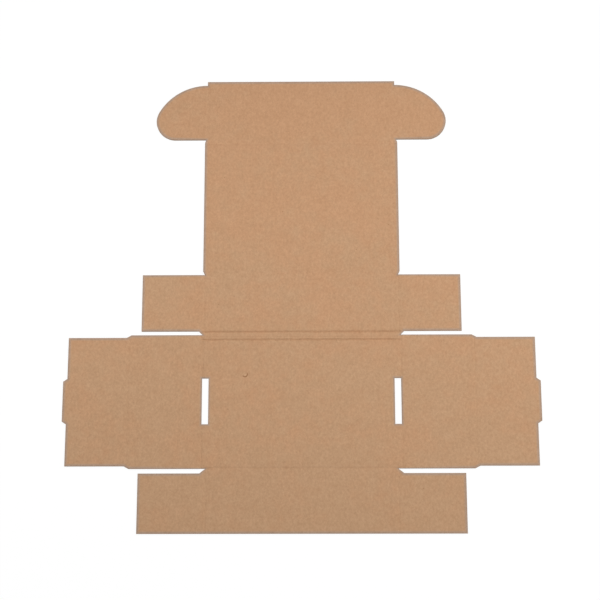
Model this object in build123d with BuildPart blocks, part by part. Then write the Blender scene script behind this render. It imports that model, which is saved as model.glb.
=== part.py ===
from build123d import *
from math import atan2, degrees, hypot
import os

# Corrugated mailer box, as it leaves the die: one flat sheet, cut and creased, not yet set up.
# The sheet lies on its outside face, with its inside face and the pressed creases upwards.
# X runs across the box, Y from the front wall to the tuck flap, Z through the board.
# The origin is at the middle of the sheet's outline, on its underside.
# Set up, it holds about 229 x 152 x 76 mm.

# Board: two liners on a B-flute medium
board_thickness = 3.0

# Panels from front to back, between crease lines
front_wall_height = 76.2
base_depth = 152.0
back_crease_gap = 9.6
back_wall_height = 72.6
lid_depth = 164.0
tuck_height = 80.2

# Panels across
base_width = 237.2
lid_width = 238.0
tuck_width = 233.0
back_wall_width = 234.0
front_wall_width = 226.8

# Side walls, which stand up, roll over and lock into the base
outer_wall_height = 78.4
roll_crease_gap = 9.7
inner_wall_height = 72.5
inner_wall_inset = 3.1
roll_step_run = 6.0

# Locking tabs and the slots they drop into
tab_length = 54.0
tab_reach = 4.9
tab_lead_in = 3.2
slot_end_clearance = 0.25
slot_width = 7.9

# Dust flaps
back_flap_reach = 75.1
back_flap_top_clearance = 2.9
back_flap_bottom_clearance = 0.6
front_flap_reach = 79.2
front_flap_depth = 69.6

# Gaps between the side walls and the dust flaps, each running out to a point
back_gap = 4.6
front_gap = 5.3
front_gap_taper = 6.8

# Small cuts at the lid's corners
lid_corner_drop = 2.0
lid_corner_rise = 4.4
tuck_notch_rise = 4.0
tuck_notch_depth = 1.6

# Ears on the tuck flap
ear_height = 70.8
ear_reach = 63.1
ear_tip_radius = 24.0
ear_lift = 4.5

# Creases: grooves with a round bottom, pressed into the inside face
crease_width = 2.4
double_crease_depth = 0.9
front_crease_depth = 0.5
light_crease_depth = 0.35
crease_overrun = 4.0

# Crease lines and panel edges along Y
sheet_length = (
    front_wall_height + base_depth + back_crease_gap + back_wall_height + lid_depth + tuck_height
)
front_edge = -sheet_length / 2
front_crease = front_edge + front_wall_height
base_back_crease = front_crease + base_depth
back_wall_crease = base_back_crease + back_crease_gap
lid_crease = back_wall_crease + back_wall_height
tuck_crease = lid_crease + lid_depth
tuck_edge = tuck_crease + tuck_height

front_flap_back = front_edge + front_flap_depth
side_wall_front = front_flap_back + front_gap
back_flap_front = back_wall_crease + back_flap_bottom_clearance
back_flap_back = lid_crease - back_flap_top_clearance
side_wall_back = back_flap_front - back_gap
side_middle = (side_wall_front + side_wall_back) / 2
inner_wall_front = side_wall_front + inner_wall_inset
inner_wall_back = side_wall_back - inner_wall_inset
ear_front = tuck_crease + ear_lift
ear_back = ear_front + ear_height

# Crease lines and panel edges along X, to the right of the middle
side_crease = base_width / 2
roll_crease_in = side_crease + outer_wall_height
roll_crease_out = roll_crease_in + roll_crease_gap
inner_wall_edge = roll_crease_out + inner_wall_height
tab_edge = inner_wall_edge + tab_reach
lid_edge = lid_width / 2
ear_crease = tuck_width / 2
back_flap_crease = back_wall_width / 2
back_flap_edge = back_flap_crease + back_flap_reach
front_flap_crease = front_wall_width / 2
front_flap_edge = front_flap_crease + front_flap_reach
slot_length = tab_length + 2 * slot_end_clearance
slot_middle = side_crease - slot_width / 2

# The ear's outline is a large arc, level at the tuck flap, that runs on into the round of the tip
tip_centre_out = ear_reach - ear_tip_radius
tip_centre_down = ear_height - ear_tip_radius
ear_back_radius = (tip_centre_out**2 + tip_centre_down**2 - ear_tip_radius**2) / (
    2 * (tip_centre_down - ear_tip_radius)
)
ear_back_turn = degrees(atan2(tip_centre_out, ear_back_radius - tip_centre_down))
ear_tip_turn = 180 - ear_back_turn

# Where each crease starts and ends. One that reaches a cut edge runs on past it.
past_lid = lid_edge + crease_overrun
double_creases = [
    ((-side_crease, base_back_crease), (side_crease, base_back_crease)),
    ((-side_crease, back_wall_crease), (side_crease, back_wall_crease)),
]
front_creases = [
    ((-side_crease, front_crease), (side_crease, front_crease)),
]
lid_creases = [
    ((-past_lid, lid_crease), (past_lid, lid_crease)),
    ((-past_lid, tuck_crease), (past_lid, tuck_crease)),
]
past_front_edge = front_edge - crease_overrun
past_side_front = side_wall_front - crease_overrun
past_side_back = side_wall_back + crease_overrun
lengthwise_creases = []
for side in (1, -1):
    lengthwise_creases += [
        ((side * front_flap_crease, past_front_edge), (side * front_flap_crease, side_wall_front)),
        ((side * side_crease, side_wall_front), (side * side_crease, side_wall_back)),
        ((side * roll_crease_in, past_side_front), (side * roll_crease_in, past_side_back)),
        ((side * roll_crease_out, past_side_front), (side * roll_crease_out, past_side_back)),
        ((side * back_flap_crease, back_flap_front), (side * back_flap_crease, back_flap_back)),
        ((side * ear_crease, ear_front), (side * ear_crease, ear_back)),
    ]

with BuildPart() as blank:
    # The sheet, cut along its outline
    with BuildSketch() as outline:
        with BuildLine() as knife_line:
            front_wall = Polyline(
                (0, front_edge),
                (front_flap_edge, front_edge),
                (front_flap_edge, front_flap_back),
                (front_flap_crease + front_gap_taper, front_flap_back),
                (front_flap_crease, side_wall_front),
            )
            side_wall = Polyline(
                front_wall @ 1,
                (roll_crease_out - roll_step_run / 2, side_wall_front),
                (roll_crease_out + roll_step_run / 2, inner_wall_front),
                (inner_wall_edge, inner_wall_front),
                (inner_wall_edge, side_middle - tab_length / 2),
                (tab_edge, side_middle - tab_length / 2 + tab_lead_in),
                (tab_edge, side_middle + tab_length / 2 - tab_lead_in),
                (inner_wall_edge, side_middle + tab_length / 2),
                (inner_wall_edge, inner_wall_back),
                (roll_crease_out + roll_step_run / 2, inner_wall_back),
                (roll_crease_out - roll_step_run / 2, side_wall_back),
                (side_crease, side_wall_back),
            )
            back_wall = Polyline(
                side_wall @ 1,
                (side_crease + back_gap, back_flap_front),
                (back_flap_edge, back_flap_front),
                (back_flap_edge, back_flap_back),
                (lid_edge - lid_corner_drop, back_flap_back),
                (lid_edge, back_flap_back + lid_corner_rise),
            )
            lid = Polyline(
                back_wall @ 1,
                (lid_edge, ear_front - tuck_notch_rise),
                (lid_edge - tuck_notch_depth, ear_front),
                (ear_crease + tip_centre_out, ear_front),
            )
            ear_tip = JernArc(lid @ 1, (1, 0), ear_tip_radius, ear_tip_turn)
            ear_top = JernArc(ear_tip @ 1, ear_tip % 1, ear_back_radius, ear_back_turn)
            tuck = Polyline(ear_top @ 1, (ear_crease, tuck_edge), (0, tuck_edge))
            mirror(about=Plane.YZ)
        make_face()
    extrude(amount=board_thickness)

    # The slots along the base's side creases
    with BuildSketch() as slots:
        with Locations((-slot_middle, side_middle), (slot_middle, side_middle)):
            Rectangle(slot_width, slot_length)
    extrude(amount=board_thickness, mode=Mode.SUBTRACT)

    # The creases
    for depth, creases in (
        (double_crease_depth, double_creases),
        (front_crease_depth, front_creases),
        (light_crease_depth, lid_creases + lengthwise_creases),
    ):
        crease_radius = ((crease_width / 2) ** 2 + depth**2) / (2 * depth)
        axis_height = board_thickness - depth + crease_radius
        for start, end in creases:
            run = Vector(*end) - Vector(*start)
            with BuildSketch(Plane(origin=(*start, axis_height), z_dir=run)):
                Circle(crease_radius)
            extrude(amount=run.length, mode=Mode.SUBTRACT)

blank.part.label = "blank"

# How the ear's two arcs meet: the distance between their centres is the difference of their radii
ear_centres_apart = hypot(tip_centre_out, ear_back_radius - tip_centre_down)
print(f"sheet {2 * tab_edge:.1f} x {sheet_length:.1f} x {board_thickness:.1f} mm")
print(f"face area {blank.part.volume / board_thickness / 1e6:.4f} square metres")
print(f"ear arcs {ear_back_radius:.1f} and {ear_tip_radius:.1f} mm")
print(f"the arcs' centres are {ear_centres_apart:.1f} mm apart")

os.makedirs("parts", exist_ok=True)
export_step(blank.part, "parts/blank.step")
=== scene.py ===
# %% [markdown]
# A corrugated mailer box, laid out flat
#
# The object is one sheet of brown board as the die leaves it: cut round its outline, creased where it
# will fold, and still flat. A slab with a brown colour would do from far away. Close up, board is two
# sheets of paper, the liners, glued to a wavy third one, the fluted medium, and that is what its cut
# edges and its faintly ribbed faces show. So the three papers are built here, each as a thin shell of
# its own, inside the space that the frame's solid takes up.

from collections import namedtuple
from math import atan2, cos, exp, hypot, pi, radians, sin, tau

import bmesh
import bpy
from mathutils import Matrix, Vector, noise


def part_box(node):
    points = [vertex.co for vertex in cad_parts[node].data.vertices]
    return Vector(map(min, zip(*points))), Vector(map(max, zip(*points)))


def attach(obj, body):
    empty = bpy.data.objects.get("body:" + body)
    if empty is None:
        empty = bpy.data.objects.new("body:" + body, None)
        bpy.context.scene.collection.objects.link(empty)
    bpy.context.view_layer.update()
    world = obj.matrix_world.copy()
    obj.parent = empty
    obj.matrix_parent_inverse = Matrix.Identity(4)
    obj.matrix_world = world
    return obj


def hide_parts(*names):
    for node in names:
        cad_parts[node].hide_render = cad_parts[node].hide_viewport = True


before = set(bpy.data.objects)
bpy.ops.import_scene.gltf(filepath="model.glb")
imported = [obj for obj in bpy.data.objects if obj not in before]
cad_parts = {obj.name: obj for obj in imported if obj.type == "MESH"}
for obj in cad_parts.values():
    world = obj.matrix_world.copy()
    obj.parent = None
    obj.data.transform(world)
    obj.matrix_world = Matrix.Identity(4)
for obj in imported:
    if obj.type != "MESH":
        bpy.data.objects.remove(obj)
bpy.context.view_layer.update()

# %% [markdown]
# Sizes
#
# Paper and board are measured in millimetres, and so is everything below, up to the moment when a mesh
# is finished and goes to metres in one step. The sheet's overall size comes from the frame's node, so
# that the new pieces can't drift away from it. The panels are named as in the set-up box.

# %% Sizes of the board and its panels, in millimetres
METRE = 1000
low, high = (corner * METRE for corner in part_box("blank"))
front_edge, tuck_edge, tab_edge = low.y, high.y, high.x
board_thickness = high.z - low.z

front_wall_height = 76.2
base_depth = 152.0
back_crease_gap = 9.6
back_wall_height = 72.6
lid_depth = 164.0

base_width = 237.2
lid_width = 238.0
tuck_width = 233.0
back_wall_width = 234.0
front_wall_width = 226.8

outer_wall_height = 78.4
roll_crease_gap = 9.7
inner_wall_height = 72.5
inner_wall_inset = 3.1
roll_step_run = 6.0

tab_length = 54.0
tab_lead_in = 3.2
slot_end_clearance = 0.25
slot_width = 7.9

back_flap_reach = 75.1
back_flap_top_clearance = 2.9
back_flap_bottom_clearance = 0.6
front_flap_reach = 79.2
front_flap_depth = 69.6
back_gap = 4.6
front_gap = 5.3
front_gap_taper = 6.8

lid_corner_drop = 2.0
lid_corner_rise = 4.4
tuck_notch_rise = 4.0
tuck_notch_depth = 1.6

ear_height = 70.8
ear_reach = 63.1
ear_tip_radius = 24.0
ear_lift = 4.5
print(f"the sheet is {2 * tab_edge:.1f} x {tuck_edge - front_edge:.1f} x {board_thickness:.1f} mm")

# %% Crease lines and cut lines that follow from them
front_crease = front_edge + front_wall_height
base_back_crease = front_crease + base_depth
back_wall_crease = base_back_crease + back_crease_gap
lid_crease = back_wall_crease + back_wall_height
tuck_crease = lid_crease + lid_depth

front_flap_back = front_edge + front_flap_depth
side_wall_front = front_flap_back + front_gap
back_flap_front = back_wall_crease + back_flap_bottom_clearance
back_flap_back = lid_crease - back_flap_top_clearance
side_wall_back = back_flap_front - back_gap
side_middle = (side_wall_front + side_wall_back) / 2
inner_wall_front = side_wall_front + inner_wall_inset
inner_wall_back = side_wall_back - inner_wall_inset
ear_front = tuck_crease + ear_lift
ear_back = ear_front + ear_height

side_crease = base_width / 2
roll_crease_in = side_crease + outer_wall_height
roll_crease_out = roll_crease_in + roll_crease_gap
inner_wall_edge = roll_crease_out + inner_wall_height
lid_edge = lid_width / 2
ear_crease = tuck_width / 2
back_flap_crease = back_wall_width / 2
back_flap_edge = back_flap_crease + back_flap_reach
front_flap_crease = front_wall_width / 2
front_flap_edge = front_flap_crease + front_flap_reach
slot_inner, slot_outer = side_crease - slot_width, side_crease
slot_front = side_middle - tab_length / 2 - slot_end_clearance
slot_back = side_middle + tab_length / 2 + slot_end_clearance

tip_centre_out = ear_reach - ear_tip_radius
tip_centre_down = ear_height - ear_tip_radius
ear_back_radius = (tip_centre_out**2 + tip_centre_down**2 - ear_tip_radius**2) / (
    2 * (tip_centre_down - ear_tip_radius)
)
ear_back_turn = atan2(tip_centre_out, ear_back_radius - tip_centre_down)
print(f"the ear's arcs have radii of {ear_tip_radius:.1f} and {ear_back_radius:.1f} mm")

# %% [markdown]
# The knife line
#
# The die's knife cuts the sheet's outline in one stroke. The two halves are alike, so only the right
# half is drawn, point by point, and mirrored. The ear's two arcs aren't typed in as points: a single
# corner is spun round each arc's centre, which leaves a chain of edges behind it. The closed chain is
# then filled with one many-sided face.

# %% Draw half of the outline and mirror it
EAR_TIP_STEPS = 30
EAR_BACK_STEPS = 24
ON_THE_MIDDLE = 0.01


def chain(bm, points, start=None):
    """Joins a vertex at each point to the one before it, and returns the last."""
    for x, y in points:
        corner = bm.verts.new((x, y, 0))
        if start:
            bm.edges.new((start, corner))
        start = corner
    return start


def spin_corner(bm, corner, centre, angle, steps):
    """Turns one corner about a centre, leaving an arc of edges, and returns the arc's last vertex."""
    arc = bmesh.ops.spin(bm, geom=[corner], cent=(*centre, 0), axis=(0, 0, 1), angle=angle, steps=steps)
    return next(g for g in arc["geom_last"] if isinstance(g, bmesh.types.BMVert))


def draw_sheet():
    """The whole sheet as one flat face, looking up."""
    bm = bmesh.new()
    ear_start = chain(bm, [
        (0, front_edge),
        (front_flap_edge, front_edge),
        (front_flap_edge, front_flap_back),
        (front_flap_crease + front_gap_taper, front_flap_back),
        (front_flap_crease, side_wall_front),
        (roll_crease_out - roll_step_run / 2, side_wall_front),
        (roll_crease_out + roll_step_run / 2, inner_wall_front),
        (inner_wall_edge, inner_wall_front),
        (inner_wall_edge, side_middle - tab_length / 2),
        (tab_edge, side_middle - tab_length / 2 + tab_lead_in),
        (tab_edge, side_middle + tab_length / 2 - tab_lead_in),
        (inner_wall_edge, side_middle + tab_length / 2),
        (inner_wall_edge, inner_wall_back),
        (roll_crease_out + roll_step_run / 2, inner_wall_back),
        (roll_crease_out - roll_step_run / 2, side_wall_back),
        (side_crease, side_wall_back),
        (side_crease + back_gap, back_flap_front),
        (back_flap_edge, back_flap_front),
        (back_flap_edge, back_flap_back),
        (lid_edge - lid_corner_drop, back_flap_back),
        (lid_edge, back_flap_back + lid_corner_rise),
        (lid_edge, ear_front - tuck_notch_rise),
        (lid_edge - tuck_notch_depth, ear_front),
        (ear_crease + tip_centre_out, ear_front),
    ])
    tip_centre = (ear_crease + tip_centre_out, ear_front + ear_tip_radius)
    back_centre = (ear_crease, ear_back - ear_back_radius)
    tip = spin_corner(bm, ear_start, tip_centre, pi - ear_back_turn, EAR_TIP_STEPS)
    top = spin_corner(bm, tip, back_centre, ear_back_turn, EAR_BACK_STEPS)
    middle = chain(bm, [(ear_crease, tuck_edge), (0, tuck_edge)], start=top)
    bm.verts.ensure_lookup_table()
    bm.edges.new((middle, bm.verts[0]))
    bmesh.ops.contextual_create(bm, geom=bm.edges)
    half = bm.verts[:] + bm.edges[:] + bm.faces[:]
    bmesh.ops.mirror(bm, geom=half, matrix=Matrix.Identity(4), merge_dist=ON_THE_MIDDLE, axis="X")
    seam = [e for e in bm.edges if all(abs(v.co.x) < ON_THE_MIDDLE for v in e.verts)]
    bmesh.ops.dissolve_edges(bm, edges=seam, use_verts=True)
    bmesh.ops.recalc_face_normals(bm, faces=bm.faces)
    if bm.faces[:][0].normal.z < 0:
        bmesh.ops.reverse_faces(bm, faces=bm.faces)
    return bm


sheet = draw_sheet()
sheet_area = sheet.faces[:][0].calc_area() / METRE**2
print(f"outline: {len(sheet.verts)} corners, {len(sheet.faces)} face of {sheet_area:.4f} m2")

# %% [markdown]
# Cutting faces with planes
#
# Everything that follows gives the flat face more edges, so that it can bend: across the flutes, along
# the creases and round the cut edges. A knife cut in the editor does that by hand. In a script, a bisect
# does it by a plane, and it only touches the faces that it is given, which keeps short cuts short.

# %% Cut faces by a plane
SNAP = 0.02


def cut(bm, faces, axis, place):
    """Cuts the faces where x or y has this value, and returns all the faces that came of them."""
    corners = {v: None for f in faces for v in f.verts}
    edges = {e: None for f in faces for e in f.edges}
    point = Vector([place * (i == axis) for i in range(3)])
    normal = Vector([float(i == axis) for i in range(3)])
    made = bmesh.ops.bisect_plane(
        bm, geom=[*corners, *edges, *faces], dist=SNAP, plane_co=point, plane_no=normal
    )
    return [g for g in made["geom"] if isinstance(g, bmesh.types.BMFace)]


def span(face, axis):
    """The lowest and highest x or y of a face."""
    places = [v.co[axis] for v in face.verts]
    return min(places), max(places)


def beyond(faces, axis, place):
    """The faces that lie past a line."""
    return [f for f in faces if f.calc_center_median()[axis] > place]


print("the uncut sheet runs from {:.1f} to {:.1f} mm, front to back".format(*span(sheet.faces[:][0], 1)))

# %% [markdown]
# The slots
#
# Each side wall's tab will drop into a slot beside the base's crease. A face can't have a hole, so two
# cuts run across the sheet in line with the slots' ends, two short ones run between them along each
# slot's sides, and the rectangle that they enclose is deleted.

# %% Punch the slots
band = beyond(cut(sheet, sheet.faces[:], 1, slot_front), 1, slot_front)
band = [f for f in cut(sheet, band, 1, slot_back) if f.calc_center_median().y < slot_back]
for side_of_slot in (-slot_outer, -slot_inner, slot_inner, slot_outer):
    band = cut(sheet, band, 0, side_of_slot)
punched = [f for f in band if slot_inner < abs(f.calc_center_median().x) < slot_outer]
bmesh.ops.delete(sheet, geom=punched, context="FACES")
print(f"slots: {len(punched)} punched out, {len(sheet.faces)} faces left")

# %% [markdown]
# The rim
#
# The knife pinches board as it goes through: within about a millimetre of a cut, the papers dip towards
# each other, and for a few millimetres the liner is greyer and carries a band of painted shade. Insetting
# the whole sheet by small steps lays rings of faces along every cut, the slots' too. How near a corner is
# to a cut gets written on it, from 0, four millimetres in, to 1 on the cut. Later cuts carry that number
# on to the new corners between the rings, and the paper's colour reads it as well. It is measured,
# because round the point of a gap the rings run further out than their step.

# %% Lay rings along the cut edges
RIM_RINGS = (0.4, 0.8, 1.2, 1.6)
RIM_REACH = sum(RIM_RINGS)


def distance_to(segment, place):
    """How far a place is from the nearest point of a straight line between two others."""
    start, end = segment
    run = end - start
    share = min(max((place - start).dot(run) / run.length_squared, 0), 1)
    return (start + share * run - place).length


knife_cuts = [[v.co.copy() for v in e.verts] for e in sheet.edges if e.is_boundary]
inner = sheet.faces[:]
for ring_width in RIM_RINGS:
    rings = bmesh.ops.inset_region(
        sheet, faces=inner, thickness=ring_width, use_even_offset=True, use_boundary=True
    )
    ring_faces = set(rings["faces"])
    inner = [f for f in inner if f.is_valid and f not in ring_faces]
rim = sheet.verts.layers.float.new("rim")
for corner in sheet.verts:
    corner[rim] = max(0, 1 - min(distance_to(c, corner.co) for c in knife_cuts) / RIM_REACH)
print(f"rim: {len(knife_cuts)} straight cuts, {len(sheet.faces)} faces")

# %% [markdown]
# The creases
#
# A crease is pressed into the inside face by a blunt rule. It leaves a groove, and the paper beside it
# lifts a little into a lip. The pair behind the base is pressed hard, because the board turns there
# twice, and the strip between the two is pushed up. The crease in front of the base is pressed less, and
# the others are wider and mostly shallow, just enough to steer the fold. Each crease is a line with half
# its groove's width, its depth, the height of its lips, and how much darker its groove is: partly paper
# that the rule rubbed, partly painted shade. A negative value paints a highlight instead, on the strip
# between the back pair and along the tuck crease. Some creases lie a few tenths off the folding line, as
# the real ones do. A soft hollow runs between the pair, and another behind the front crease, each with a
# little painted shade.

# %% List the creases
Crease = namedtuple("Crease", "name axis place start end half depth lip rub")
RUN_OUT = 6.0
LIP_WIDTH = 2.6

between_pair = (base_back_crease + back_wall_crease) / 2
base_span = (-side_crease, side_crease)
lid_span = (-lid_edge - RUN_OUT, lid_edge + RUN_OUT)
# The last number darkens the groove, as rubbed paper plus painted shade; below 0 it paints a highlight
across = [
    Crease("back pair, front", 1, base_back_crease - 0.1, *base_span, 1.65, 0.78, 0.02, 0.14),
    Crease("back pair, hollow", 1, between_pair - 1.6, *base_span, 1.4, 0.16, 0.0, 0.035),
    Crease("back pair, ridge", 1, between_pair + 0.1, *base_span, 0.9, -0.05, 0.0, -0.02),
    Crease("back pair, back", 1, back_wall_crease - 0.2, *base_span, 1.65, 0.75, 0.04, 0.14),
    Crease("front", 1, front_crease - 0.6, *base_span, 2.5, 0.30, 0.01, 0.042),
    Crease("behind the front", 1, front_crease + 4.2, *base_span, 2.6, 0.06, 0.0, 0.018),
    Crease("lid", 1, lid_crease - 0.6, *lid_span, 3.0, 0.24, 0.02, 0.008),
    Crease("tuck", 1, tuck_crease, *lid_span, 3.4, 0.65, 0.03, -0.014),
]
flap_span = (front_edge - RUN_OUT, side_wall_front)
wall_span = (side_wall_front, side_wall_back)
roll_span = (side_wall_front - RUN_OUT, side_wall_back + RUN_OUT)
back_flap_span = (back_flap_front, back_flap_back)
ear_span = (ear_front, ear_back)
along = []
# The base's crease on the left is pressed deeper than the one on the right
for side, base_side_depth in ((-1, 0.60), (1, 0.36)):
    along += [
        Crease("front flap", 0, side * front_flap_crease, *flap_span, 2.8, 0.40, 0.03, 0.003),
        Crease("base side", 0, side * side_crease, *wall_span, 2.6, base_side_depth, 0.03, 0.008),
        Crease("roll in", 0, side * roll_crease_in, *roll_span, 2.2, 0.16, 0.02, 0.006),
        Crease("roll out", 0, side * roll_crease_out, *roll_span, 2.2, 0.24, 0.02, 0.006),
        Crease("back flap", 0, side * back_flap_crease, *back_flap_span, 2.2, 0.28, 0.03, 0.008),
        Crease("ear", 0, side * ear_crease, *ear_span, 2.6, 0.16, 0.01, 0.005),
    ]
creases = across + along
print(f"{len(creases)} creases: " + "; ".join(sorted({c.name for c in creases})))

# %% [markdown]
# Lines to bend along
#
# The flutes run across the box, so board bends between front and back: every flute gets a few cuts
# across the whole sheet. Near a crease the cuts come closer together, to give its groove a round bottom.
# The outermost of them lies where the face is level again, or nearly so, because a long face that
# starts on a lip would carry its height on to where there is no crease. The cuts across go from the
# front edge to the back one, and each only looks at the faces that are still ahead of it, because a
# sheet that is cut hundreds of times grows slow to search.

# %% Cut the rows and the columns
FLUTE_PITCH = 6.5
GROOVE_CUTS = (0.0, 0.4, 0.8, 1.2, 1.7, 2.5, 3.4, 5.6)
COLUMN_STEP = 3.0
groove_lines = sorted({sign * c for c in GROOVE_CUTS for sign in (-1, 1)})


def cut_rows(bm, cuts_per_flute, groove_rows):
    """Cuts the sheet from side to side, at even shares of a flute and along the creases across."""
    step = FLUTE_PITCH / cuts_per_flute
    too_near = step / 4
    flute_rows = [front_edge + i * step for i in range(1, int((tuck_edge - front_edge) / step) + 1)]
    rows = [y for y in flute_rows if all(abs(y - other) > too_near for other in groove_rows)]
    ahead = bm.faces[:]
    for y in sorted(rows + groove_rows):
        ahead = beyond(cut(bm, ahead, 1, y), 1, y)


def cut_columns(bm, lines, bands):
    """Cuts, at each of these lines, the faces that lie in any of the bands between two rows."""
    faces = [
        f for f in bm.faces if any(start <= f.calc_center_median().y <= end for start, end in bands)
    ]
    for x in lines:
        near = [f for f in faces if span(f, 0)[0] < x - SNAP and span(f, 0)[1] > x + SNAP]
        known = set(near)
        faces += [f for f in cut(bm, near, 0, x) if f not in known]


def cut_creases_along(bm, lines):
    """Cuts along each crease that runs from front to back."""
    for crease in along:
        band = (crease.start - FLUTE_PITCH, crease.end + FLUTE_PITCH)
        cut_columns(bm, [crease.place + line for line in lines], [band])


liner_sheet = sheet.copy()
groove_rows = [c.place + line for c in across for line in groove_lines]
cut_rows(liner_sheet, cuts_per_flute=6, groove_rows=groove_rows)
cut_creases_along(liner_sheet, groove_lines)
columns = int((lid_span[1] - lid_span[0]) / COLUMN_STEP)
column_lines = [(i - columns / 2) * COLUMN_STEP for i in range(columns + 1)]
groove_bands = [(c.place + groove_lines[1], c.place + groove_lines[-2]) for c in across]
cut_columns(liner_sheet, column_lines, groove_bands)
print(f"inside liner: {len(liner_sheet.faces)} faces")

# %% [markdown]
# A dent
#
# Something small and round was once pushed into the base, left of its middle, and left a hook: the lower
# right of its ring. The faces there are cut finely enough to hold it.

# %% Cut the place of the dent
dent_x, dent_y = -67.4, -90.9
DENT_RADIUS = 2.9
DENT_REACH = 6.0
DENT_CUT = 0.5

dent_lines = [i * DENT_CUT - DENT_REACH for i in range(int(2 * DENT_REACH / DENT_CUT) + 1)]
dent_band = (dent_y - DENT_REACH, dent_y + DENT_REACH)
cut_columns(liner_sheet, [dent_x + line for line in dent_lines], [dent_band])
near_dent = [
    f for f in liner_sheet.faces
    if max(abs(f.calc_center_median().x - dent_x), abs(f.calc_center_median().y - dent_y)) < DENT_REACH
]
for line in dent_lines:
    near_dent = cut(liner_sheet, near_dent, 1, dent_y + line)
print(f"the dent's place: {len(near_dent)} faces")

# %% [markdown]
# The height of every point
#
# The two liners and the medium now get their form from a few rules that give the height at a point, as a
# sculptor's brush would, but exactly. The inside face dips by the washboard's ripple between the
# flutes' tips, by the grooves of the creases, and at the rim. The outside face does the same, upwards and
# less. The medium's wave fills whatever height is left between them, which is why it flattens under a
# crease, as it does in real board. What darkens the paper is reckoned along with what lowers it.

# %% A soft step and the flutes' wave
def ease(share):
    """A share from 0 to 1, with soft ends."""
    share = min(max(share, 0.0), 1.0)
    return share * share * (3 - 2 * share)


def flute_turn(y):
    """The angle of the flutes' wave."""
    return tau * (y - front_edge) / FLUTE_PITCH


print(f"flutes from front to back: {flute_turn(tuck_edge) / tau:.1f}")

# %% The form of the creases
# A groove fades out over this length, and this share of it lies past the crease's end
FADE = 5.0
FADE_OUTSIDE = 0.7
# How far a groove strays to the side and how much its depth varies, each with the length of its waves
WANDER = 0.30
WANDER_LENGTH = 11
UNEVEN = 0.5
UNEVEN_LENGTH = 4.5
# Each crease reads the noise along a row of its own, and its depth does so on a second level
NOISE_ROW = 3.7
NOISE_LEVEL = 9.0


def crease_form(x, y):
    """How far the creases lower the inside face at a point, and how much they darken it."""
    lowered, darkened = 0.0, 0.0
    for number, crease in enumerate(creases):
        off = (x, y)[crease.axis] - crease.place
        run = (x, y)[1 - crease.axis]
        reach = crease.half + LIP_WIDTH
        if abs(off) > reach + WANDER or not crease.start - FADE < run < crease.end + FADE:
            continue
        row = number * NOISE_ROW
        off -= WANDER * noise.noise(Vector((run / WANDER_LENGTH, row, 0.0)))
        uneven = 1 + UNEVEN * noise.noise(Vector((run / UNEVEN_LENGTH, row, NOISE_LEVEL)))
        fade_in = ease((run - crease.start) / FADE + FADE_OUTSIDE)
        fade_out = ease((crease.end - run) / FADE + FADE_OUTSIDE)
        share = uneven * fade_in * fade_out
        if abs(off) < crease.half:
            bowl = share * (0.5 + 0.5 * cos(pi * off / crease.half))
            lowered += crease.depth * bowl
            # Darker in the groove: partly rubbed paper, partly painted shade; a negative value paints a
            # highlight
            darkened += crease.rub * bowl
        elif abs(off) < reach:
            lowered -= crease.lip * share * sin(pi * (abs(off) - crease.half) / LIP_WIDTH) ** 2
    return lowered, darkened


print(f"the tuck crease is {crease_form(0, tuck_crease)[0]:.2f} mm deep at its middle")

# %% The form of the dent
DENT_DEPTH = 0.45
# The ring's painted shade: how much darker its colour is made
DENT_SHADE = 0.60
DENT_LINE = 0.62
HOOK_LEAN = 0.7
# Just below the ring's centre the paper stands up in a small bump, which gets a painted highlight. The
# last two values are shares of the ring's own depth and painted shade.
BUMP_SIZE = 1.0
BUMP_BELOW = 1.3
BUMP_RISE = 0.3
BUMP_HIGHLIGHT = 0.45


def dent_form(x, y):
    """How far the dent lowers the inside face at a point, and its painted shade, or painted highlight on
    the bump.
    """
    right, up = x - dent_x, y - dent_y
    if hypot(right, up) > DENT_REACH:
        return 0.0, 0.0
    hook = ease(0.5 - (up - HOOK_LEAN * right) / DENT_RADIUS)
    ring = hook * exp(-(((hypot(right, up) - DENT_RADIUS) / DENT_LINE) ** 2))
    bump = exp(-((hypot(right, up + BUMP_BELOW) / BUMP_SIZE) ** 2))
    return DENT_DEPTH * (ring - BUMP_RISE * bump), DENT_SHADE * (ring - BUMP_HIGHLIGHT * bump)


print(f"the dent's hook is {dent_form(dent_x, dent_y - DENT_RADIUS)[0]:.2f} mm deep")

# %% The height of the two faces
LINER_THICKNESS = 0.30
MEDIUM_THICKNESS = 0.24
LIP_ROOM = 0.10
WASHBOARD_DEPTH = 0.014
RIM_DIP = 0.32
RIM_LIFT = 0.10
RIM_SHARE = 0.3


def pinched(near_rim):
    """How far the knife's pinch reaches at a point this near to a cut, from 0 to 1."""
    return ease((near_rim - 1) / RIM_SHARE + 1)


def inside_face(x, y, near_rim):
    """The height of the board's inside face at a point, and how much darker the paper is there."""
    ripple = WASHBOARD_DEPTH * (0.5 - 0.5 * cos(flute_turn(y)))
    creased, crease_rub_and_shade = crease_form(x, y)
    dented, dent_shade = dent_form(x, y)
    height = board_thickness - LIP_ROOM - ripple - creased - dented - RIM_DIP * pinched(near_rim)
    return min(height, board_thickness), crease_rub_and_shade + dent_shade


def outside_face(y, near_rim):
    """The height of the board's outside face at a point."""
    return WASHBOARD_DEPTH * (0.5 + 0.5 * cos(flute_turn(y))) + RIM_LIFT * pinched(near_rim)


print("height in a panel and on a cut:", [round(inside_face(0, 0, near)[0], 2) for near in (0, 1)])

# %% [markdown]
# From a bent face to a paper
#
# Each paper is bent by its rule, given its thickness by a solidify, and turned into a mesh in metres.
# The thin walls round the outline meet the faces at a right angle. Their edges are marked as sharp, so
# that they stay crisp while the waves and grooves are shaded smoothly.

# %% Make a paper from a bent face
SHARP_TURN = radians(50)


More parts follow.
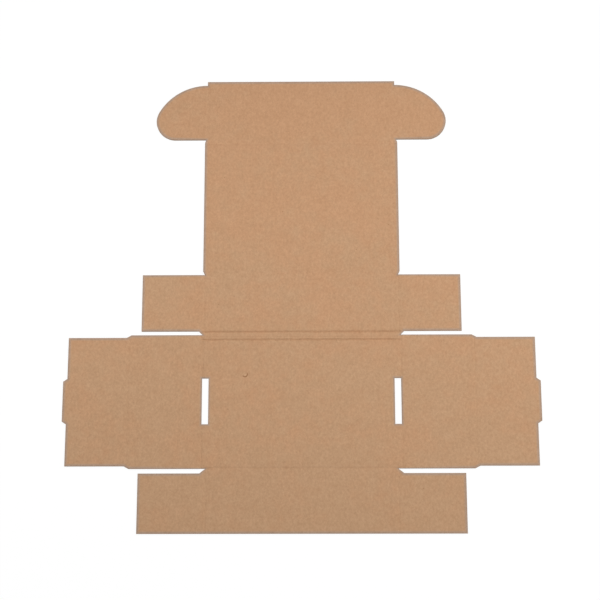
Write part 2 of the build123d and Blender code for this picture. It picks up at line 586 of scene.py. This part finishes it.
def paper(bm, name, thickness):
    """Gives a bent face its thickness, downwards, and makes it a piece that rides on the frame."""
    bmesh.ops.solidify(bm, geom=bm.faces[:], thickness=thickness)
    bmesh.ops.recalc_face_normals(bm, faces=bm.faces)
    for face in bm.faces:
        face.smooth = True
    for edge in bm.edges:
        edge.smooth = edge.calc_face_angle(0) < SHARP_TURN
    bmesh.ops.scale(bm, vec=Vector((1, 1, 1)) / METRE, verts=bm.verts)
    mesh = bpy.data.meshes.new(name)
    bm.to_mesh(mesh)
    bm.free()
    piece = bpy.data.objects.new(name, mesh)
    bpy.context.scene.collection.objects.link(piece)
    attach(piece, "root")
    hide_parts("blank")
    heights = [v.co.z * METRE for v in mesh.vertices]
    triangles = sum(len(p.vertices) - 2 for p in mesh.polygons)
    print(f"{name}: {triangles} triangles, from {min(heights):.3f} to {max(heights):.3f} mm high")
    return piece


print(f"edges that turn by more than {SHARP_TURN / pi:.2f} of a half turn stay crisp")

# %% [markdown]
# The inside liner
#
# This is the face that the camera sees. Beside its height, each point keeps how much a crease or the dent
# darkened it: rubbed paper is a little darker and glossier, and on top of that the grooves get painted
# shade and the raised strips painted highlights. The material reads that number later.

# %% Bend the inside liner
rim = liner_sheet.verts.layers.float["rim"]
rub = liner_sheet.verts.layers.float.new("rub")
for point in liner_sheet.verts:
    point.co.z, point[rub] = inside_face(point.co.x, point.co.y, point[rim])
inside_liner = paper(liner_sheet, "inside_liner", LINER_THICKNESS)

# %% [markdown]
# The outside liner
#
# It lies on the table, so it stays nearly flat, with only the ripple of the flutes and a slight lift at
# the rim.

# %% Bend the outside liner
outside_sheet = sheet.copy()
cut_rows(outside_sheet, cuts_per_flute=4, groove_rows=[])
rim = outside_sheet.verts.layers.float["rim"]
for point in outside_sheet.verts:
    point.co.z = outside_face(point.co.y, point[rim]) + LINER_THICKNESS
outside_liner = paper(outside_sheet, "outside_liner", LINER_THICKNESS)

# %% [markdown]
# The fluted medium
#
# The medium is one paper in waves, and pulled straight it would be about a fifth longer than the board.
# Its crests and troughs touch the two liners all along the flutes, where the glue holds them, and its
# open ends show along the left and right cut edges.

# %% Bend the medium
GLUE = 0.02
MEDIUM_GROOVE_LINES = (-1.7, -1.0, 0.0, 1.0, 1.7)

medium_sheet = sheet.copy()
medium_groove_rows = [c.place + line for c in across for line in MEDIUM_GROOVE_LINES]
cut_rows(medium_sheet, cuts_per_flute=10, groove_rows=medium_groove_rows)
cut_creases_along(medium_sheet, MEDIUM_GROOVE_LINES)
rim = medium_sheet.verts.layers.float["rim"]
for point in medium_sheet.verts:
    x, y, _ = point.co
    ceiling = inside_face(x, y, point[rim])[0] - LINER_THICKNESS + GLUE
    ground = outside_face(y, point[rim]) + LINER_THICKNESS - GLUE
    swing = (ceiling - ground - MEDIUM_THICKNESS) / 2
    point.co.z = (ceiling + ground + MEDIUM_THICKNESS) / 2 + swing * cos(flute_turn(y))
fluted_medium = paper(medium_sheet, "fluted_medium", MEDIUM_THICKNESS)
sheet.free()

# %% [markdown]
# Shader maths as plain expressions
#
# A material is a graph of nodes, and a sum in it takes a Math node. Written out, that hides what is
# reckoned. This small class holds a socket and lets Python's own signs add the nodes, so that a mask can
# be written as 1 - ring * strength. Any other node comes from its one method, node, which sets the
# node's choices first and then the values or links of its sockets.

# %% A socket that can be reckoned with
class Wire:
    """An output socket of a node tree. Expressions on wires add the Math nodes that they need."""

    def __init__(self, tree, socket=None):
        self.tree, self.socket = tree, socket

    def node(self, kind, settings=None, sockets=None, output=0):
        """Adds a node of the same tree and returns one of its outputs as a wire."""
        made = self.tree.nodes.new("ShaderNode" + kind)
        for name, value in (settings or {}).items():
            setattr(made, name, value)
        for name, value in (sockets or {}).items():
            if isinstance(value, Wire):
                self.tree.links.new(value.socket, made.inputs[name])
            else:
                made.inputs[name].default_value = value
        return Wire(self.tree, made.outputs[output]) if made.outputs else None

    def other(self, output):
        """Another output of the node that this wire comes from."""
        return Wire(self.tree, self.socket.node.outputs[output])

    def math(self, operation, *values):
        """A Math node on these numbers and wires."""
        return self.node("Math", {"operation": operation}, dict(enumerate(values)))

    def __add__(self, other):
        return self.math("ADD", self, other)

    def __sub__(self, other):
        return self.math("SUBTRACT", self, other)

    def __rsub__(self, other):
        return self.math("SUBTRACT", other, self)

    def __mul__(self, other):
        return self.math("MULTIPLY", self, other)

    __radd__, __rmul__ = __add__, __mul__

    def between(self, start, end):
        """0 below start, 1 above end, and a soft step between the two."""
        choices = {"interpolation_type": "SMOOTHSTEP"}
        return self.node("MapRange", choices, {"Value": self, "From Min": start, "From Max": end})

    def blend(self, first, second):
        """A colour that goes from the first to the second as this wire goes from 0 to 1."""
        return self.node("Mix", {"data_type": "RGBA"}, {0: self, 6: first, 7: second}, output=2)

    def times(self, factor):
        """This colour or vector, made stronger or weaker."""
        return self.node("VectorMath", {"operation": "SCALE"}, {0: self, "Scale": factor})


def new_material(name):
    """An empty material, and a wire to start its nodes from."""
    material = bpy.data.materials.new(name)
    material.use_nodes = True
    material.node_tree.nodes.clear()
    return material, Wire(material.node_tree)


print("expressions on wires are ready")

# %% [markdown]
# Kraft paper
#
# Brown kraft liner is matte and nearly even, and what makes it look like paper is how it is uneven. Pulp
# settles in soft clouds, the fibres lie mostly along the way that the paper was made, and here and there
# lies a fleck of bark or a pale fibre. Each of those is a noise of its own size, worth a few percent of
# the colour. Noise from the object's own coordinates stays put on the paper from every side.

# %% Paper grain
PAPER_GLOSS = 0.25
PAPER_RELIEF = 0.05
FLECK_CORE, FLECK_EDGE = 0.12, 0.32
SPOT_CORE, SPOT_EDGE = 0.5, 1.3
# How strongly a lighter or darker patch changes the red, the green and the blue
SHADE = (0.85, 1.07, 1.36)
UNCHANGED = (1, 1, 1)


def paper_place(start):
    """Places on the paper, in millimetres."""
    here = start.node("TexCoord", output="Object")
    return start.node("Mapping", {}, {"Vector": here, "Scale": (METRE,) * 3})


def patterned(place, size, stretch, shift):
    """Places for a pattern whose parts are about this many millimetres wide."""
    spread = tuple(1 / (size * share) for share in stretch)
    return place.node("Mapping", {}, {"Vector": place, "Scale": spread, "Location": (shift,) * 3})


def grain(place, size, stretch=(1, 1, 1), detail=2.0, shift=0.0):
    """An even noise about 0, whose lumps are about this many millimetres wide."""
    lumps = patterned(place, size, stretch, shift)
    return place.node("TexNoise", {}, {"Vector": lumps, "Scale": 1.0, "Detail": detail}) - 0.5


def flecks(place, size, stretch, share, shift=0.0):
    """Sparse flecks: 1 on them and 0 elsewhere."""
    cells = patterned(place, size, stretch, shift)
    near = place.node("TexVoronoi", {}, {"Vector": cells, "Scale": 1.0})
    luck = place.node("SeparateColor", {}, {0: near.other("Color")})
    return (1 - near.between(FLECK_CORE, FLECK_EDGE)) * place.math("LESS_THAN", luck, share)


def spots(place, centres):
    """Round marks at these places: 1 on them and 0 elsewhere."""
    marks = 0
    for x, y, radius in centres:
        centre = (x, y, board_thickness - LIP_ROOM)
        away = place.node("VectorMath", {"operation": "DISTANCE"}, {0: place, 1: centre}, output=1)
        marks = marks + (1 - away.between(radius * SPOT_CORE, radius * SPOT_EDGE))
    return marks


def shaded(colour, lighter):
    """A colour made lighter by this share, or darker."""
    operands = {0: lighter, 1: SHADE, 2: UNCHANGED}
    factor = lighter.node("VectorMath", {"operation": "MULTIPLY_ADD"}, operands)
    return colour.node("VectorMath", {"operation": "MULTIPLY"}, {0: colour, 1: factor})


def paper_shader(start, colour, roughness, relief):
    """Joins a colour, a roughness and a fine relief to a matte paper surface."""
    bump = {"Height": relief, "Distance": PAPER_RELIEF / METRE}
    shader = start.node("BsdfPrincipled", {}, {
        "Base Color": colour,
        "Roughness": roughness,
        "Specular IOR Level": PAPER_GLOSS,
        "Normal": start.node("Bump", {}, bump),
    })
    start.node("OutputMaterial", {}, {"Surface": shader})


print(f"paper grain is ready, with a relief of {PAPER_RELIEF} mm")

# %% [markdown]
# The liners' finish
#
# Where a crease rule pressed, the paper is burnished and darker, and its grooves get painted shade on top
# of that, as does the dent's ring; the strip between the back pair, the tuck crease and the dent's bump
# get painted highlights. Towards the knife's cut the paper is greyer and carries a band of painted shade.
# All of these come from the numbers kept on the mesh, so they follow the real grooves and edges. A few
# dark specks are marks of this one sheet, and have places of their own. What makes paper lighter or
# darker doesn't change its red, green and blue by the same share: pale fibres are less brown. Its tone
# also drifts a little, from ruddy at the tuck flap to olive at the front wall.

# %% Kraft liner material
RUDDY = (0.5315, 0.297, 0.162, 1)
OLIVE = (0.5115, 0.3065, 0.173, 1)
RIM_GREY = (0.425, 0.300, 0.222, 1)
CUT_BROWN = (0.345, 0.232, 0.150, 1)
# The place and the radius of each speck
SPECKS = (
    (-94.4, 152.9, 0.8), (106.5, 92.4, 0.8), (67.1, 61.2, 0.7),
    (-22.9, 109.3, 0.7), (-99.9, -6.3, 0.7), (142.2, -225.6, 0.8),
)


def kraft_liner():
    """The liners' paper, with grain, specks, rubbed creases with painted shade, and a greyer rim with
    painted shade.
    """
    material, start = new_material("kraft_liner")
    place = paper_place(start)
    clouds = grain(place, 16)
    mottle = grain(place, 3.2, (1, 1.4, 1), detail=3)
    lint = grain(place, 1.9, (1, 1.3, 1), detail=3, shift=19)
    fibres = grain(place, 0.5, (0.6, 2.4, 1), shift=7)
    threads = grain(place, 0.2, (0.6, 3.5, 1), shift=41)
    bark = flecks(place, 2.2, (1, 1.7, 1), 0.16)
    pale = flecks(place, 1.7, (0.7, 2.2, 1), 0.25, shift=31)
    near_rim = start.node("Attribute", {"attribute_name": "rim"}, output="Fac")
    rubbed_and_shaded = start.node("Attribute", {"attribute_name": "rub"}, output="Fac")
    # Painted shade: a band just inside every cut, where the colour is made a little darker
    painted_rim_shade = near_rim.between(0.4, 0.75)
    grey_rim = 0.85 * near_rim.between(0, 0.65)
    cut_edge = 0.9 * near_rim.between(0.9, 1.0)

    lighter = 0.10 * clouds + 0.24 * mottle + 0.36 * lint + 0.24 * fibres + 0.26 * threads
    lighter = lighter + 0.06 * pale - 0.08 * bark - 0.28 * spots(place, SPECKS)
    # Rubbed paper with painted shade and painted highlights from the creases and the dent, and painted
    # shade inside the cuts
    lighter = lighter - rubbed_and_shaded - 0.06 * painted_rim_shade
    towards_tuck = place.node("SeparateXYZ", {}, {"Vector": place}, output="Y")
    olive = grain(place, 11, shift=53) + 1.4 * grain(place, 70, shift=67) - 0.0012 * towards_tuck
    brown = olive.between(-0.45, 0.45).blend(RUDDY, OLIVE)
    brown = shaded(grey_rim.blend(brown, RIM_GREY), lighter)
    roughness = 0.84 + 0.25 * mottle - rubbed_and_shaded
    relief = fibres + threads + mottle + lint
    paper_shader(start, cut_edge.blend(brown, CUT_BROWN), roughness, relief)
    return material


liner_finish = kraft_liner()
for piece in (inside_liner, outside_liner):
    piece.data.materials.append(liner_finish)
print("liners:", liner_finish.name, len(liner_finish.node_tree.nodes), "nodes")

# %% [markdown]
# The medium's finish
#
# Fluting is made from a cheaper, recycled pulp, and it is duller and darker than the liners. Little of it
# shows, at the open ends of the flutes, and a coarser grain is enough there.

# %% Fluting material
MEDIUM_BROWN = (0.42, 0.262, 0.155, 1)
MEDIUM_DARK = (0.35, 0.220, 0.132, 1)


def fluting_paper():
    """The medium's paper, mottled in two browns."""
    material, start = new_material("fluting_paper")
    place = paper_place(start)
    mottle = grain(place, 1.8, (1, 1.5, 1), detail=3)
    fibres = grain(place, 0.4, (0.6, 2.4, 1), shift=7)
    colour = mottle.between(-0.15, 0.15).blend(MEDIUM_BROWN, MEDIUM_DARK).times(1 + 0.3 * fibres)
    paper_shader(start, colour, 0.9 + 0.1 * mottle, fibres + mottle)
    return material


fluted_medium.data.materials.append(fluting_paper())
print("medium:", fluted_medium.data.materials[0].name)

# %% [markdown]
# The floor and the light
#
# The sheet lies on a white table that shows no edge. To the camera the floor is nearly its own white
# light, mixed with a little plain white paint that keeps the sheet's shadow. The sheet itself is lit by
# ordinary white light: an even sky, a long soft lamp that hangs over its back half, and another one high
# on the right. That gives the gentle fall of light towards the front and the left, and it brings out the
# creases. The strengths add up to a level at which a colour shows about as it is written.

# %% Floor and world
FLOOR_SIZE = 8000
FLOOR_GAP = 0.05
FLOOR_OWN_LIGHT = 0.93
FLOOR_GLOW = 1.02
FLOOR_PAINT = (0.92, 0.92, 0.92, 1)
WHITE = (1, 1, 1, 1)
SKY_STRENGTH = 0.37


def seen_white(start):
    """1 for rays that show the backdrop: the camera's own, and those seen in gloss or through glass."""
    ray = start.node("LightPath", output="Is Camera Ray")
    seen = start.math("MAXIMUM", ray, ray.other("Is Glossy Ray"))
    return start.math("MAXIMUM", seen, ray.other("Is Transmission Ray"))


def make_floor():
    """The white table, just under the sheet."""
    bm = bmesh.new()
    bmesh.ops.create_grid(bm, x_segments=1, y_segments=1, size=FLOOR_SIZE / 2 / METRE)
    bmesh.ops.translate(bm, vec=(0, 0, -FLOOR_GAP / METRE), verts=bm.verts)
    mesh = bpy.data.meshes.new("floor")
    bm.to_mesh(mesh)
    bm.free()
    floor = bpy.data.objects.new("floor", mesh)
    bpy.context.scene.collection.objects.link(floor)
    material, start = new_material("white_floor")
    paint = start.node("BsdfDiffuse", {}, {"Color": FLOOR_PAINT})
    glow = start.node("Emission", {}, {"Color": WHITE, "Strength": FLOOR_GLOW})
    own_light = seen_white(start) * FLOOR_OWN_LIGHT
    surface = start.node("MixShader", {}, {0: own_light, 1: paint, 2: glow})
    start.node("OutputMaterial", {}, {"Surface": surface})
    mesh.materials.append(material)


def make_world():
    """An even sky, which looks fully white and lights the sheet with less."""
    world = bpy.data.worlds.new("white_room")
    world.use_nodes = True
    world.node_tree.nodes.clear()
    start = Wire(world.node_tree)
    strength = SKY_STRENGTH + (1 - SKY_STRENGTH) * seen_white(start)
    sky = start.node("Background", {}, {"Color": WHITE, "Strength": strength})
    start.node("OutputWorld", {}, {"Surface": sky})
    bpy.context.scene.world = world


make_floor()
make_world()
print(f"floor {FLOOR_SIZE / METRE:.0f} m wide, sky strength {SKY_STRENGTH}")

# %% Lamps
# The power in watts that makes white paper show white, for a small lamp a metre away
FULL_POWER = pi * pi


def soft_lamp(name, place, width, depth, share):
    """A flat lamp that faces the sheet's middle, level from left to right, at a share of full power."""
    place = Vector(place) / METRE
    lamp = bpy.data.lights.new(name, "AREA")
    lamp.shape = "RECTANGLE"
    lamp.size, lamp.size_y = width / METRE, depth / METRE
    lamp.energy = share * FULL_POWER * place.length_squared
    lamp_object = bpy.data.objects.new(name, lamp)
    lamp_object.location = place
    away = place.normalized()
    sideways = (Vector((1, 0, 0)) - away * away.x).normalized()
    lamp_object.rotation_euler = Matrix((sideways, away.cross(sideways), away)).transposed().to_euler()
    bpy.context.scene.collection.objects.link(lamp_object)


soft_lamp("strip_lamp", place=(-335, 147, 700), width=1500, depth=300, share=0.589)
soft_lamp("right_lamp", place=(800, 100, 800), width=800, depth=800, share=0.474)
print("lamps:", [o.name for o in bpy.context.scene.objects if o.type == "LIGHT"])

# %% [markdown]
# The camera
#
# The photograph looks down on the sheet from about 1.4 m, leaning back by eleven degrees, so that the
# front edge is nearer. The place, the angles and the focal length come from the sheet's own straight
# edges, whose lines meet where a camera of that kind would see them meet.

# %% Camera
camera_place = (10.53, -262.93, 1364.29)
camera_tilt, camera_roll, camera_turn = 10.8876, 0.5305, -0.0909

camera = bpy.data.cameras.new("camera")
camera.lens = 69.0
camera.sensor_width = 36.0
camera.clip_start, camera.clip_end = 0.01, 100
camera_object = bpy.data.objects.new("camera", camera)
camera_object.location = Vector(camera_place) / METRE
camera_object.rotation_euler = [radians(a) for a in (camera_tilt, camera_roll, camera_turn)]
bpy.context.scene.collection.objects.link(camera_object)
bpy.context.scene.camera = camera_object
bpy.context.scene.view_settings.view_transform = "Standard"
print(f"camera {camera_object.location.length:.2f} m from the sheet's middle")
